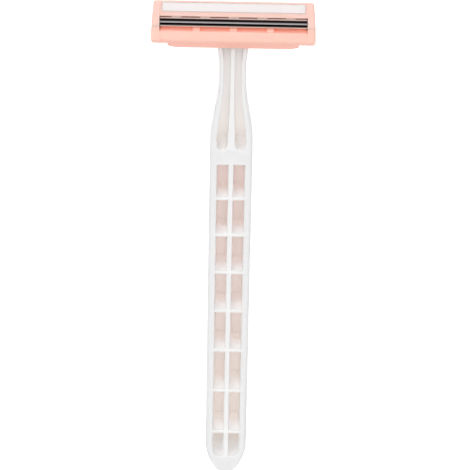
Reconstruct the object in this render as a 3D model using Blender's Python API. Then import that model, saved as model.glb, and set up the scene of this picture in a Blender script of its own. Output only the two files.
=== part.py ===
"""A fixed-head razor with two blades, lying on its back.

+Y runs from the handle's tail to the head, +X along the head, and +Z out of the handle's cored face.
Lengths are in metres. Places along the handle, called s, are measured from its tail. The head is modelled
in its own frame: x along the head, u from the guard to the cap's back, and w out of the shaving face.
"""

import math

import bmesh
import bpy
from mathutils import Matrix

# Handle
HANDLE_WIDTH = 0.01070
TAIL_THICKNESS = 0.00872
FRONT_SLOPE = 0.0225  # the cored face comes down this much for each unit towards the head
TAIL_ROUNDING_LENGTH = 0.009
TAIL_ROUNDING_POWER = 1.69
TAIL_EDGE_RADIUS = 0.0010
FRONT_CORNER_RADIUS = 0.0010
BACK_CORNER_RADIUS = 0.0018
ROUNDEST_SHARE = 0.96  # of half of a section's smaller side, which a corner radius may take
FIRST_STEP_SHARE = 0.35  # of a step, where a round end has its first section
CORNER_STEPS = 4
TAIL_STEPS = 9

# Neck, from the end of the straight handle to the shoulder against the head
NECK_START = 0.09605
WAIST_SETBACK = 0.0077
WAIST_WIDTH = 0.0065
NECK_FLARE = 0.0008
NECK_BACK_RISE = 0.0012
NECK_STEPS = 18

# Ladder of cavities in the handle's cored face
CAVITY_ROWS = 8
FIRST_RIM = 0.09105
LAST_RIM = 0.01279
LADDER_END = 0.00557
ROW_GROWTH_SHARE = 0.047  # of the first row's pitch, which each next pitch gains
RUNG_THICKNESS = 0.0009
MIDDLE_RIB = 0.00125
CAVITY_WIDTH = 0.00290
CAVITY_FLOOR = 0.0011
CAVITY_DRAFT = math.radians(2.0)
CAVITY_CORNER_RADIUS = 0.0003
LAST_CORNER_RADIUS = 0.0022

# Channels in the neck, to either side of its rib
WEB_LENGTH = 0.004
CHANNEL_ROUNDING = 0.0015
CHANNEL_FLOOR = 0.0027
NECK_RIB = 0.0011
RIB_ROOT = 0.0019
NECK_FLANGE = 0.0012
FLANGE_ROOT = 0.0017

# Tongue on the neck, and its latch
TONGUE_LENGTH = 0.0049
TONGUE_WIDTH = 0.0052
TONGUE_THICKNESS = 0.00085
TONGUE_BACK = 0.0017
TONGUE_ROOT = 0.0020
TONGUE_RIB = 0.0009
TONGUE_RIB_TOP = 0.0049
LATCH_HEIGHT = 0.0006
LATCH_LENGTH = 0.0012
LATCH_WIDTH = 0.0024
LATCH_SETBACK = 0.0013

# Head
HANDLE_TO_FACE = 0.12955
HEAD_TILT = math.radians(36.0)
HEAD_WIDTH = 0.040
FACE_DEPTH = 0.01031
HEAD_THICKNESS = 0.0042
CHEEK_WIDTH = 0.00202
CHEEK_HEIGHT = 0.00012
FRONT_HEIGHT = 0.0010
FRONT_UNDERCUT = 0.0005
BACK_TAPER = 0.00055
TAPER_STEPS = 6
EDGE_ROUNDING = 0.0005
PARTING_LINE = -0.0014
PARTING_DEPTH = 0.0031
PARTING_GAP = 0.00012
REAR_WALL = 0.0005

# Blades and spacer
BLADE_TILT = math.radians(25.0)
BLADE_END_GAP = 0.0001
BLADE_DEPTH = 0.0050
BLADE_THICKNESS = 0.0001
BLADE_FACET = 0.00055
UPPER_EDGE = -0.00044
BLADE_SPAN = 0.00087
LOWER_EDGE_DROP = 0.00005
SPACER_SETBACK = 0.0006
SPACER_END_SETBACK = 0.00018
STACK_GAP = 0.00005

# Cap
LIP_FRONT = 0.00125
LIP_DROP = 0.00008
LIP_ROUNDING = 0.0002
LIP_NUB_COUNT = 5
LIP_NUB_WIDTH = 0.0024
LIP_NUB_PITCH_SHARE = 0.193  # of the width between the cheeks
LIP_NUB_REACH = 0.00024
STRIP_FRONT = 0.00241
STRIP_BACK = 0.00456
STRIP_END_MARGIN = 0.00065
GROOVE_DEPTH = 0.0006
STRIP_PROUD = 0.00005
STRIP_GAP = 0.00008

# Studs on the cap, which pass through the stack into the platform
STUD_COUNT = 3
STUD_PITCH_SHARE = 0.334  # of the width between the cheeks
STUD_RADIUS = 0.0007
STUD_REACH = 0.0013
STUD_FROM_EDGE = 0.0029
STUD_SIDES = 16

# Platform
GUARD_BACK = -0.00233
GUARD_TOP = -0.00435
GUARD_FRONT = -0.00505
GUARD_CROWN = 0.0001
GUARD_FALL = 0.00035
RECESS_DEPTH = 0.0016
SEAT_FRONT = -0.00092
GUARD_RIB_COUNT = 3
GUARD_RIB_WIDTH = 0.00175
GUARD_RIB_PITCH_SHARE = 0.250  # of the width between the cheeks
GUARD_RIB_FALL = 0.0005
SKIRT_ROOT_INSET = 0.00395
SKIRT_INSET = 0.0059
SKIRT_OVERHANG = 0.00065
SKIRT_DEPTH = 0.0032
SKIRT_ROUNDING = 0.0005
SOCKET_WIDTH = 0.0092
SOCKET_BACK = 0.0003
SOCKET_HEIGHT = 0.0062
SOCKET_TOP_LENGTH = 0.0026
SOCKET_END_WALL = 0.0030
SOCKET_END_HEIGHT = 0.0017

CLEARANCE = 0.0003
OVERRUN = 0.001
ROUNDING_SEGMENTS = 3
ROUNDED_ANGLE = math.radians(40)
SHARP_ANGLE = math.radians(35)

# Worked out from the sizes above
HALF_HANDLE = HANDLE_WIDTH / 2
CHANNEL_END = FIRST_RIM + WEB_LENGTH
HALF_HEAD = HEAD_WIDTH / 2
HALF_FACE = FACE_DEPTH / 2
HALF_BAY = HALF_HEAD - CHEEK_WIDTH
BAY_WIDTH = 2 * HALF_BAY
BLADE_LENGTH = BAY_WIDTH - 2 * BLADE_END_GAP
SPACER_LENGTH = BLADE_LENGTH - 2 * SPACER_END_SETBACK
STRIP_LENGTH = BAY_WIDTH - 2 * STRIP_END_MARGIN
LOWER_EDGE = UPPER_EDGE - BLADE_SPAN
STACK_SPACING = BLADE_SPAN * math.sin(BLADE_TILT) + LOWER_EDGE_DROP * math.cos(BLADE_TILT)
STACK_STAGGER = BLADE_SPAN * math.cos(BLADE_TILT) - LOWER_EDGE_DROP * math.sin(BLADE_TILT)
SPACER_THICKNESS = STACK_SPACING - BLADE_THICKNESS - 2 * STACK_GAP
CAP_UNDERSIDE = BLADE_THICKNESS / 2 + STACK_GAP
SEAT_DROP = STACK_SPACING + BLADE_THICKNESS / 2 + STACK_GAP
STUD_HOLE_RADIUS = STUD_RADIUS + CLEARANCE / 2
GUARD_BASE = -GUARD_CROWN - (GUARD_TOP - GUARD_FRONT) - GUARD_FALL
SKIRT_OUTLINE = [
    (-HALF_FACE + EDGE_ROUNDING, GUARD_BASE),
    (-HALF_FACE, GUARD_BASE),
    (-HALF_FACE - SKIRT_OVERHANG, -SKIRT_DEPTH),
    (-HALF_FACE - SKIRT_OVERHANG + SKIRT_ROUNDING / 2, -SKIRT_DEPTH - SKIRT_ROUNDING),
    (-HALF_FACE, -HEAD_THICKNESS),
    (-HALF_FACE + 2 * EDGE_ROUNDING, -HEAD_THICKNESS),
    (-HALF_FACE + 2 * EDGE_ROUNDING, GUARD_BASE),
]
SKIRT_REACH = max(-u * math.cos(HEAD_TILT) - w * math.sin(HEAD_TILT) for u, w in SKIRT_OUTLINE)
SOCKET_MOUTH = HANDLE_TO_FACE - SKIRT_REACH
SHOULDER = SOCKET_MOUTH - CLEARANCE
WAIST = SHOULDER - WAIST_SETBACK
TONGUE_TIP = SHOULDER + TONGUE_LENGTH
FACE_HEIGHT = (
    (HALF_FACE - EDGE_ROUNDING) * math.sin(HEAD_TILT)
    + (HEAD_THICKNESS - EDGE_ROUNDING) * math.cos(HEAD_TILT)
    + EDGE_ROUNDING
)
TOTAL_LENGTH = (
    HANDLE_TO_FACE
    + (HALF_FACE - EDGE_ROUNDING) * math.cos(HEAD_TILT)
    + (CHEEK_HEIGHT - EDGE_ROUNDING) * math.sin(HEAD_TILT)
    + EDGE_ROUNDING
)
TAIL_Y = -TOTAL_LENGTH / 2
FACE_MIDDLE = (0, TAIL_Y + HANDLE_TO_FACE, FACE_HEIGHT)
HEAD_PLACE = Matrix.Translation(FACE_MIDDLE) @ Matrix.Rotation(-HEAD_TILT, 4, "X")
BLADE_PLACE = Matrix.Translation((0, UPPER_EDGE, 0)) @ Matrix.Rotation(-BLADE_TILT, 4, "X")


def srgb(red, green, blue):
    """A colour as the eye reads it, from 0 to 255, made linear."""
    def linear(value):
        value /= 255
        return value / 12.92 if value <= 0.04045 else ((value + 0.055) / 1.055) ** 2.4
    return linear(red), linear(green), linear(blue), 1.0


def material(name, colour, roughness, metallic=0.0):
    made = bpy.data.materials.new(name)
    made.use_nodes = True
    shader = made.node_tree.nodes["Principled BSDF"]
    shader.inputs["Base Color"].default_value = colour
    shader.inputs["Roughness"].default_value = roughness
    shader.inputs["Metallic"].default_value = metallic
    made.diffuse_color = colour
    return made


def new_object(name, mesh, surface=None):
    made = bpy.data.objects.new(name, mesh)
    bpy.context.scene.collection.objects.link(made)
    if surface:
        mesh.materials.append(surface)
    return made


def frame_empty(name, place, parent=None):
    made = new_object(name, None)
    made.parent = parent
    made.matrix_local = place
    return made


def mesh_from(name, build):
    """A mesh made by a function that fills a bmesh, with its faces turned out."""
    shape = bmesh.new()
    build(shape)
    bmesh.ops.recalc_face_normals(shape, faces=shape.faces[:])
    mesh = bpy.data.meshes.new(name)
    shape.to_mesh(mesh)
    shape.free()
    return mesh


def skin(shape, rings):
    """A closed skin over rings that all have as many points."""
    rows = [[shape.verts.new(point) for point in ring] for ring in rings]
    for near, far in zip(rows, rows[1:]):
        for i in range(len(near)):
            j = (i + 1) % len(near)
            shape.faces.new((near[i], near[j], far[j], far[i]))
    shape.faces.new(rows[0])
    shape.faces.new(list(reversed(rows[-1])))


def prisms(name, outline, width, centres=(0.0,)):
    """Copies of an outline in the plane square to x, drawn out along x, about each centre."""
    def build(shape):
        for centre in centres:
            skin(shape, [[(centre + side * width / 2, *point) for point in outline] for side in (-1, 1)])
    return mesh_from(name, build)


def cylinders(name, centres, from_edge, radius, low, high):
    """Round bars square to the blades, in the blades' frame, one for each centre along x."""
    def build(shape):
        for x in centres:
            bmesh.ops.create_cone(
                shape, cap_ends=True, segments=STUD_SIDES, radius1=radius, radius2=radius,
                depth=high - low, matrix=Matrix.Translation((x, from_edge, (low + high) / 2)),
            )
    return mesh_from(name, build)


def moved(mesh, place):
    mesh.transform(place)
    return mesh


def combine(target, mesh, operation):
    """Joins a hidden shape to an object, or cuts it away."""
    tool = new_object(mesh.name, mesh)
    tool.hide_render = True
    tool.display_type = "WIRE"
    boolean = target.modifiers.new(mesh.name, "BOOLEAN")
    boolean.operation = operation
    boolean.solver = "EXACT"
    boolean.object = tool


def round_edges(target):
    """Rounds the edges, then makes the faces triangles, since a Boolean can lose a bent one."""
    bevel = target.modifiers.new("edge_rounding", "BEVEL")
    bevel.width = EDGE_ROUNDING
    bevel.segments = ROUNDING_SEGMENTS
    bevel.limit_method = "ANGLE"
    bevel.angle_limit = ROUNDED_ANGLE
    target.modifiers.new("flat_faces", "TRIANGULATE")


def finish(target, frame=None):
    """Makes the modifiers' result the object's own mesh, and places the object in its frame."""
    bpy.context.view_layer.update()
    graph = bpy.context.evaluated_depsgraph_get()
    tools = [modifier.object for modifier in target.modifiers if modifier.type == "BOOLEAN"]
    mesh = bpy.data.meshes.new_from_object(target.evaluated_get(graph))
    target.modifiers.clear()
    target.data = mesh
    for tool in tools:
        bpy.data.objects.remove(tool, do_unlink=True)
    mesh.shade_smooth()
    mesh.set_sharp_from_angle(angle=SHARP_ANGLE)
    target.parent = frame
    return target


def ease(value):
    """A smooth step from 0 to 1."""
    value = min(max(value, 0.0), 1.0)
    return (1 - math.cos(math.pi * value)) / 2


def between(start, end, value):
    return (value - start) / (end - start)


def arc(centre, radius, start, end):
    """Points on an arc, whose angles are in quarter turns."""
    turns = [math.pi / 2 * (start + (end - start) * step / CORNER_STEPS) for step in range(CORNER_STEPS + 1)]
    return [(centre[0] + radius * math.cos(turn), centre[1] + radius * math.sin(turn)) for turn in turns]


def rounded_box(left, right, low, high, radii):
    """A box outline with its own radius at each corner: upper right, upper left, lower left, lower right."""
    most = ROUNDEST_SHARE * min(right - left, high - low) / 2
    corners = zip(((1, 1), (-1, 1), (-1, -1), (1, -1)), radii)
    outline = []
    for number, ((side, up), radius) in enumerate(corners):
        radius = min(radius, most)
        x = right - radius if side > 0 else left + radius
        y = high - radius if up > 0 else low + radius
        outline += arc((x, y), radius, number, number + 1)
    return outline


def spread(count, pitch_share):
    """Places of equal parts along the head, about its middle, a share of the cheeks' distance apart."""
    return [BAY_WIDTH * pitch_share * (number - (count - 1) / 2) for number in range(count)]


def round_end(start, length, steps):
    """Places along a round end, closer together towards its tip, at start."""
    return [
        start + length * (1 - math.cos(math.pi / 2 * (step + FIRST_STEP_SHARE) / steps))
        for step in range(steps)
    ]


def half_width(s):
    """Half of the handle's width at s."""
    if s < TAIL_ROUNDING_LENGTH:
        left = 1 - s / TAIL_ROUNDING_LENGTH
        return HALF_HANDLE * (1 - left ** TAIL_ROUNDING_POWER) ** (1 / TAIL_ROUNDING_POWER)
    if s < WAIST:
        return HALF_HANDLE + (WAIST_WIDTH / 2 - HALF_HANDLE) * ease(between(NECK_START, WAIST, s))
    return (WAIST_WIDTH + NECK_FLARE * ease(between(WAIST, SHOULDER, s))) / 2


def front_face(s):
    return TAIL_THICKNESS - FRONT_SLOPE * s


def back_face(s):
    return NECK_BACK_RISE * ease(between(NECK_START, SHOULDER, s))


def handle_ring(s):
    """The rounded section of the handle at s."""
    loss = 0.0
    if s < TAIL_EDGE_RADIUS:
        loss = TAIL_EDGE_RADIUS - math.sqrt(TAIL_EDGE_RADIUS ** 2 - (TAIL_EDGE_RADIUS - s) ** 2)
    half = half_width(s)
    radii = (FRONT_CORNER_RADIUS, FRONT_CORNER_RADIUS, BACK_CORNER_RADIUS, BACK_CORNER_RADIUS)
    section = rounded_box(-half, half, back_face(s) + loss, front_face(s) - loss, radii)
    return [(x, TAIL_Y + s, z) for x, z in section]


def handle_body(shape):
    stations = round_end(0.0, TAIL_ROUNDING_LENGTH, TAIL_STEPS) + [TAIL_ROUNDING_LENGTH]
    stations += [NECK_START + (SHOULDER - NECK_START) * step / NECK_STEPS for step in range(NECK_STEPS + 1)]
    skin(shape, [handle_ring(s) for s in stations])


def cavity(shape, side, low, high, outer_radius):
    """One cavity between two places along the handle, with drafted walls, open at the cored face."""
    rings = []
    for z in (CAVITY_FLOOR, TAIL_THICKNESS + OVERRUN):
        inset = (front_face((low + high) / 2) - z) * math.tan(CAVITY_DRAFT)
        small = max(CAVITY_CORNER_RADIUS - inset, CAVITY_CORNER_RADIUS * (1 - ROUNDEST_SHARE))
        large = max(outer_radius - inset, small)
        left = MIDDLE_RIB / 2 + inset
        right = MIDDLE_RIB / 2 + CAVITY_WIDTH - inset
        radii = (small, small, small, large)
        outline = rounded_box(left, right, low + inset, high - inset, radii)
        rings.append([(side * x, TAIL_Y + s, z) for x, s in outline])
    skin(shape, rings)


def ladder(shape):
    """Two columns of cavities, whose rows grow longer towards the tail."""
    pitches = [1 + ROW_GROWTH_SHARE * row for row in range(CAVITY_ROWS - 1)]
    unit = (FIRST_RIM - LAST_RIM) / sum(pitches)
    rim = FIRST_RIM
    for pitch in pitches:
        for side in (-1, 1):
            cavity(shape, side, rim - unit * pitch + RUNG_THICKNESS, rim, CAVITY_CORNER_RADIUS)
        rim -= unit * pitch
    for side in (-1, 1):
        cavity(shape, side, LADDER_END, rim, LAST_CORNER_RADIUS)


def channel_section(s):
    """The inner and the outer side of a neck channel at s."""
    root = 1 - ease(between(CHANNEL_END, WAIST, s))
    inner = (NECK_RIB + (RIB_ROOT - NECK_RIB) * root) / 2
    outer = half_width(s) - NECK_FLANGE - (FLANGE_ROOT - NECK_FLANGE) * root
    left = max(0.0, 1 - (s - CHANNEL_END) / CHANNEL_ROUNDING)
    narrowing = (outer - inner) / 2 * (1 - math.sqrt(1 - left ** 2))
    return inner + narrowing, outer - narrowing


def channels(shape):
    """Channels to either side of the neck's rib, closed by the ladder and open at the shoulder."""
    stations = round_end(CHANNEL_END, CHANNEL_ROUNDING, CORNER_STEPS)
    start = CHANNEL_END + CHANNEL_ROUNDING
    stations += [start + (SHOULDER + OVERRUN - start) * step / NECK_STEPS for step in range(NECK_STEPS + 1)]
    sections = [(s, *channel_section(s)) for s in stations]
    outline = [(inner, TAIL_Y + s) for s, inner, outer in sections]
    outline += [(outer, TAIL_Y + s) for s, inner, outer in reversed(sections)]
    for side in (-1, 1):
        rings = [[(side * x, y, z) for x, y in outline] for z in (CHANNEL_FLOOR, TAIL_THICKNESS + OVERRUN)]
        skin(shape, rings)


def along_handle(points):
    """Points of a side view, given as (s, z), in world space."""
    return [(TAIL_Y + s, z) for s, z in points]


def side_box(start, end, low, high):
    return along_handle([(start, low), (end, low), (end, high), (start, high)])


def make_handle(surface):
    handle = new_object("handle", mesh_from("handle", handle_body), surface)
    combine(handle, mesh_from("ladder_cutter", ladder), "DIFFERENCE")
    combine(handle, mesh_from("channel_cutter", channels), "DIFFERENCE")
    start = SHOULDER - TONGUE_ROOT
    top = TONGUE_BACK + TONGUE_THICKNESS
    inside = TONGUE_BACK + TONGUE_THICKNESS / 2
    plate = side_box(start, TONGUE_TIP, TONGUE_BACK, top)
    rib = side_box(start, TONGUE_TIP, inside, TONGUE_RIB_TOP)
    latch_end = TONGUE_TIP - LATCH_SETBACK
    latch_start = latch_end - LATCH_LENGTH
    latch_tip = TONGUE_BACK - LATCH_HEIGHT
    latch = along_handle([(latch_start, inside), (latch_start, latch_tip), (latch_end, inside)])
    combine(handle, prisms("tongue_plate", plate, TONGUE_WIDTH), "UNION")
    combine(handle, prisms("tongue_rib", rib, TONGUE_RIB), "UNION")
    combine(handle, prisms("tongue_latch", latch, LATCH_WIDTH), "UNION")
    return finish(handle)


def stack_line(u, drop):
    """The height w, at u, of a plane that lies drop below the middle of the upper blade."""
    return -(u - UPPER_EDGE) * math.tan(BLADE_TILT) - drop / math.cos(BLADE_TILT)


def head_block(shape):
    """The outer shape of cap and platform together: narrower at the back, and undercut at the front."""
    levels = [-HEAD_THICKNESS, -FRONT_HEIGHT, CHEEK_HEIGHT]
    fronts = [FRONT_UNDERCUT - HALF_FACE, -HALF_FACE, -HALF_FACE]
    rings = []
    for w, front in zip(levels, fronts):
        right = []
        for step in range(TAPER_STEPS + 1):
            share = step / TAPER_STEPS
            right.append((HALF_HEAD - BACK_TAPER * share ** 2, front + (HALF_FACE - front) * share))
        outline = right + [(-x, u) for x, u in reversed(right)]
        rings.append([(x, u, w) for x, u in outline])
    skin(shape, rings)


def make_blade(name, surface, frame, edge, level):
    """A flat steel blade, whose sharp edge and middle plane lie at edge and level in the blades' frame."""
    half = BLADE_THICKNESS / 2
    section = [(0.0, 0.0), (BLADE_FACET, half), (BLADE_DEPTH, half)]
    section += [(BLADE_DEPTH, -half), (BLADE_FACET, -half)]
    section = [(edge + y, level + z) for y, z in section]
    blade = new_object(name, prisms(name, section, BLADE_LENGTH), surface)
    cut_stud_holes(blade, -STACK_SPACING - STUD_REACH, STUD_REACH)
    return finish(blade, frame)


def make_spacer(surface, frame):
    top = -BLADE_THICKNESS / 2 - STACK_GAP
    low = top - SPACER_THICKNESS
    back = BLADE_DEPTH - STACK_STAGGER
    section = [(SPACER_SETBACK, top), (SPACER_SETBACK, low), (back, low), (back, top)]
    spacer = new_object("spacer", prisms("spacer", section, SPACER_LENGTH), surface)
    cut_stud_holes(spacer, -STACK_SPACING - STUD_REACH, STUD_REACH)
    return finish(spacer, frame)


def cut_stud_holes(target, low, high, place=None):
    centres = spread(STUD_COUNT, STUD_PITCH_SHARE)
    holes = cylinders("stud_holes", centres, STUD_FROM_EDGE, STUD_HOLE_RADIUS, low, high)
    combine(target, moved(holes, place) if place else holes, "DIFFERENCE")


def make_cap(surface, frame):
    """The cap: its cheeks cover the ends of the blades, and its lip all of them but their edges."""
    cap = new_object("cap", mesh_from("cap", head_block), surface)
    round_edges(cap)
    over = CHEEK_HEIGHT + OVERRUN
    beyond = HALF_FACE + OVERRUN
    front = PARTING_LINE + PARTING_GAP / 2
    low = -PARTING_DEPTH + PARTING_GAP / 2
    under = -HEAD_THICKNESS - OVERRUN
    rest = [(-beyond, over), (-beyond, under), (beyond, under), (beyond, low), (front, low), (front, over)]
    combine(cap, prisms("platform_side", rest, HEAD_WIDTH + OVERRUN), "DIFFERENCE")

    before = front - OVERRUN
    lip = arc((LIP_FRONT + LIP_ROUNDING, -LIP_DROP - LIP_ROUNDING), LIP_ROUNDING, 2, 1)
    opening = [(before, over), (before, low - OVERRUN), (LIP_FRONT, low - OVERRUN)] + lip
    opening += [(STRIP_FRONT, 0.0), (beyond, 0.0), (beyond, over)]
    combine(cap, prisms("face_opening", opening, BAY_WIDTH), "DIFFERENCE")
    groove = [(STRIP_FRONT, -GROOVE_DEPTH), (STRIP_BACK, -GROOVE_DEPTH)]
    groove += [(STRIP_BACK, over), (STRIP_FRONT, over)]
    combine(cap, prisms("strip_groove", groove, STRIP_LENGTH + 2 * STRIP_GAP), "DIFFERENCE")

    nub_back = LIP_FRONT + LIP_ROUNDING
    nub_front = LIP_FRONT - LIP_NUB_REACH
    nub_top = -LIP_DROP - LIP_ROUNDING
    nub_low = stack_line(nub_back, OVERRUN)
    nub = [(nub_back, nub_top), (LIP_FRONT, nub_top), (nub_front, nub_top - LIP_NUB_REACH)]
    nub += [(nub_front, nub_low), (nub_back, nub_low)]
    combine(cap, prisms("lip_nubs", nub, LIP_NUB_WIDTH, spread(LIP_NUB_COUNT, LIP_NUB_PITCH_SHARE)), "UNION")
    inside = HALF_FACE - REAR_WALL
    bay = [(before, stack_line(before, -CAP_UNDERSIDE)), (before, low - OVERRUN), (inside, low - OVERRUN),
           (inside, stack_line(inside, -CAP_UNDERSIDE))]
    combine(cap, prisms("blade_bay", bay, BAY_WIDTH), "DIFFERENCE")
    studs = cylinders(
        "studs", spread(STUD_COUNT, STUD_PITCH_SHARE), STUD_FROM_EDGE, STUD_RADIUS, -SEAT_DROP - STUD_REACH,
        CAP_UNDERSIDE + STACK_GAP,
    )
    combine(cap, moved(studs, BLADE_PLACE), "UNION")
    return finish(cap, frame)


def make_strip(surface, frame):
    front = STRIP_FRONT + STRIP_GAP
    back = STRIP_BACK - STRIP_GAP
    low = -GROOVE_DEPTH + STRIP_GAP
    section = [(front, low), (back, low), (back, 0.0), (back - STRIP_GAP, STRIP_PROUD),
               (front + STRIP_GAP, STRIP_PROUD), (front, 0.0)]
    strip = new_object("lubricating_strip", prisms("lubricating_strip", section, STRIP_LENGTH), surface)
    return finish(strip, frame)


def guard_outline():
    """What is cut away over the guard and the recess behind it."""
    over = CHEEK_HEIGHT + OVERRUN
    beyond = HALF_FACE + OVERRUN
    rounding = GUARD_TOP - GUARD_FRONT
    outline = [(SEAT_FRONT, over), (SEAT_FRONT, -RECESS_DEPTH), (GUARD_BACK + GUARD_CROWN, -RECESS_DEPTH),
               (GUARD_BACK, -GUARD_CROWN), ((GUARD_BACK + GUARD_TOP) / 2, 0.0)]
    outline += arc((GUARD_TOP, -GUARD_CROWN - rounding), rounding, 1, 2)
    return outline + [(-HALF_FACE, GUARD_BASE), (-beyond, GUARD_BASE), (-beyond, over)]


def skirt(shape):
    """The skirt under the guard, which is narrower the further it stands out."""
    def half(u):
        narrowing = (SKIRT_INSET - SKIRT_ROOT_INSET) * (-HALF_FACE - u) / SKIRT_OVERHANG
        return HALF_HEAD - SKIRT_ROOT_INSET - narrowing
    skin(shape, [[(side * half(u), u, w) for u, w in SKIRT_OUTLINE] for side in (-1, 1)])


def add_socket(platform):
    """A socket behind the skirt, with a pocket for the tongue and a window for its latch."""
    end = TONGUE_TIP + SOCKET_END_WALL
    block = along_handle([
        (SOCKET_MOUTH, SOCKET_BACK), (end, SOCKET_BACK), (end, SOCKET_BACK + SOCKET_END_HEIGHT),
        (SOCKET_MOUTH + SOCKET_TOP_LENGTH, SOCKET_HEIGHT), (SOCKET_MOUTH, SOCKET_HEIGHT),
    ])
    low = TONGUE_BACK - CLEARANCE
    pocket = side_box(SOCKET_MOUTH - OVERRUN, TONGUE_TIP + CLEARANCE, low, TONGUE_RIB_TOP + CLEARANCE)
    latch_end = TONGUE_TIP - LATCH_SETBACK
    latch_start = latch_end - LATCH_LENGTH
    window = side_box(latch_start - CLEARANCE, latch_end + CLEARANCE, SOCKET_BACK - OVERRUN, TONGUE_BACK)
    to_head = HEAD_PLACE.inverted()
    combine(platform, moved(prisms("socket_block", block, SOCKET_WIDTH), to_head), "UNION")
    combine(platform, moved(prisms("pocket", pocket, TONGUE_WIDTH + 2 * CLEARANCE), to_head), "DIFFERENCE")
    combine(platform, moved(prisms("window", window, LATCH_WIDTH + 2 * CLEARANCE), to_head), "DIFFERENCE")


def make_platform(surface, frame):
    """The platform: a seat under the blades, a guard bar, cheeks, a skirt and the socket for the neck."""
    platform = new_object("blade_platform", mesh_from("blade_platform", head_block), surface)
    round_edges(platform)
    over = CHEEK_HEIGHT + OVERRUN
    beyond = HALF_FACE + OVERRUN
    front = PARTING_LINE - PARTING_GAP / 2
    step = -PARTING_DEPTH - PARTING_GAP / 2
    rear = HALF_FACE - REAR_WALL - CLEARANCE
    cap_side = [(front, over), (front, step), (beyond, step), (beyond, over)]
    combine(platform, prisms("cap_side", cap_side, HEAD_WIDTH + OVERRUN), "DIFFERENCE")
    inside = step - CLEARANCE
    seat = [(GUARD_BACK, inside), (rear, inside), (rear, 0.0), (GUARD_BACK, 0.0)]
    combine(platform, prisms("seat_body", seat, 2 * (HALF_BAY - CLEARANCE)), "UNION")
    combine(platform, prisms("guard_cutter", guard_outline(), BAY_WIDTH), "DIFFERENCE")

    rib_front = GUARD_BACK - CLEARANCE
    rib_back = SEAT_FRONT + CLEARANCE
    rib_low = -RECESS_DEPTH - CLEARANCE
    rib = [(rib_front, rib_low), (rib_back, rib_low), (rib_back, -GUARD_CROWN - GUARD_RIB_FALL),
           (rib_front, -GUARD_CROWN)]
    ribs = prisms("guard_ribs", rib, GUARD_RIB_WIDTH, spread(GUARD_RIB_COUNT, GUARD_RIB_PITCH_SHARE))
    combine(platform, ribs, "UNION")
    notch_front = LOWER_EDGE - CLEARANCE
    notch = [(notch_front, over), (notch_front, stack_line(notch_front, SEAT_DROP)),
             (rear + OVERRUN, stack_line(rear + OVERRUN, SEAT_DROP)), (rear + OVERRUN, over)]
    combine(platform, prisms("blade_seat", notch, BAY_WIDTH), "DIFFERENCE")
    combine(platform, mesh_from("skirt", skirt), "UNION")
    add_socket(platform)
    cut_stud_holes(platform, -SEAT_DROP - STUD_REACH - CLEARANCE, OVERRUN, BLADE_PLACE)
    return finish(platform, frame)


def main():
    for old in list(bpy.data.objects):
        bpy.data.objects.remove(old, do_unlink=True)
    pink = material("pink_plastic", srgb(252, 208, 194), 0.42)
    white = material("white_plastic", srgb(242, 241, 241), 0.45)
    steel = material("blade_steel", srgb(168, 168, 172), 0.22, 1.0)
    dark = material("spacer_plastic", srgb(60, 56, 58), 0.5)
    wax = material("strip_wax", srgb(245, 238, 238), 0.35)
    head = frame_empty("head_frame", HEAD_PLACE)
    blades = frame_empty("blade_frame", BLADE_PLACE, head)
    make_handle(white)
    make_platform(pink, head)
    make_blade("lower_blade", steel, blades, -STACK_STAGGER, -STACK_SPACING)
    make_spacer(dark, blades)
    make_blade("upper_blade", steel, blades, 0.0, 0.0)
    make_cap(pink, head)
    make_strip(wax, head)


main()
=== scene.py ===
"""The razor as it looks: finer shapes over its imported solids, their materials, and a white studio.

Lengths are in metres. Places along the handle, called s, are measured from its tail. The head is modelled
in its own frame: x along the head, y from the guard to the cap's back, and z out of the shaving face.
"""

import math
from contextlib import contextmanager

import bmesh
import bpy
from mathutils import Matrix, Vector


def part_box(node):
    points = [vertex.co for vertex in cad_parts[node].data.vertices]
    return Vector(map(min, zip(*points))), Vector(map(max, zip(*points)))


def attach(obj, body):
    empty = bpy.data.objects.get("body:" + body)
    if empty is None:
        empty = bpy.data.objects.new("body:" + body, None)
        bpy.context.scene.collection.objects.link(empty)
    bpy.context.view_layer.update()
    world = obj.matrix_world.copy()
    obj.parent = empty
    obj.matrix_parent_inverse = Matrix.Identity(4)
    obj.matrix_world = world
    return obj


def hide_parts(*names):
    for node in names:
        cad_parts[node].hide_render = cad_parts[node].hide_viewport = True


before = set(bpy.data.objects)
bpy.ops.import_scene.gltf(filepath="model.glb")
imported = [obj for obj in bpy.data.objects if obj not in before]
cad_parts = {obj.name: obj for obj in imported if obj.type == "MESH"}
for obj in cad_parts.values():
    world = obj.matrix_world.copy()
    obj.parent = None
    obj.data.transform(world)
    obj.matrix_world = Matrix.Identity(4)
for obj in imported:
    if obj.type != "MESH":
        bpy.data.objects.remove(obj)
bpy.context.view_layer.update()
HANDLE_LOW, HANDLE_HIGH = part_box("handle")

# Handle
TAIL_Y = HANDLE_LOW.y
HALF_HANDLE = HANDLE_HIGH.x
TAIL_THICKNESS = 0.00872
FRONT_SLOPE = 0.0225  # the cored face comes down this much for each unit towards the head
TAIL_ROUNDING_LENGTH = 0.009
TAIL_ROUNDING_POWER = 1.69
TAIL_STEPS = 14
TAIL_EDGE_RADIUS = 0.0014
FRONT_CORNER_RADIUS = 0.0010
BACK_CORNER_RADIUS = 0.0018
CORNER_SEGMENTS = 6
FIRST_STEP_SHARE = 0.3  # of a step, where a round end has its first section
CORED_NORMAL = 0.9  # the least z that a face's normal has where the front is cored
FLAT_NORMAL = 0.99  # and on the flat front, inside its rounded corners

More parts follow.
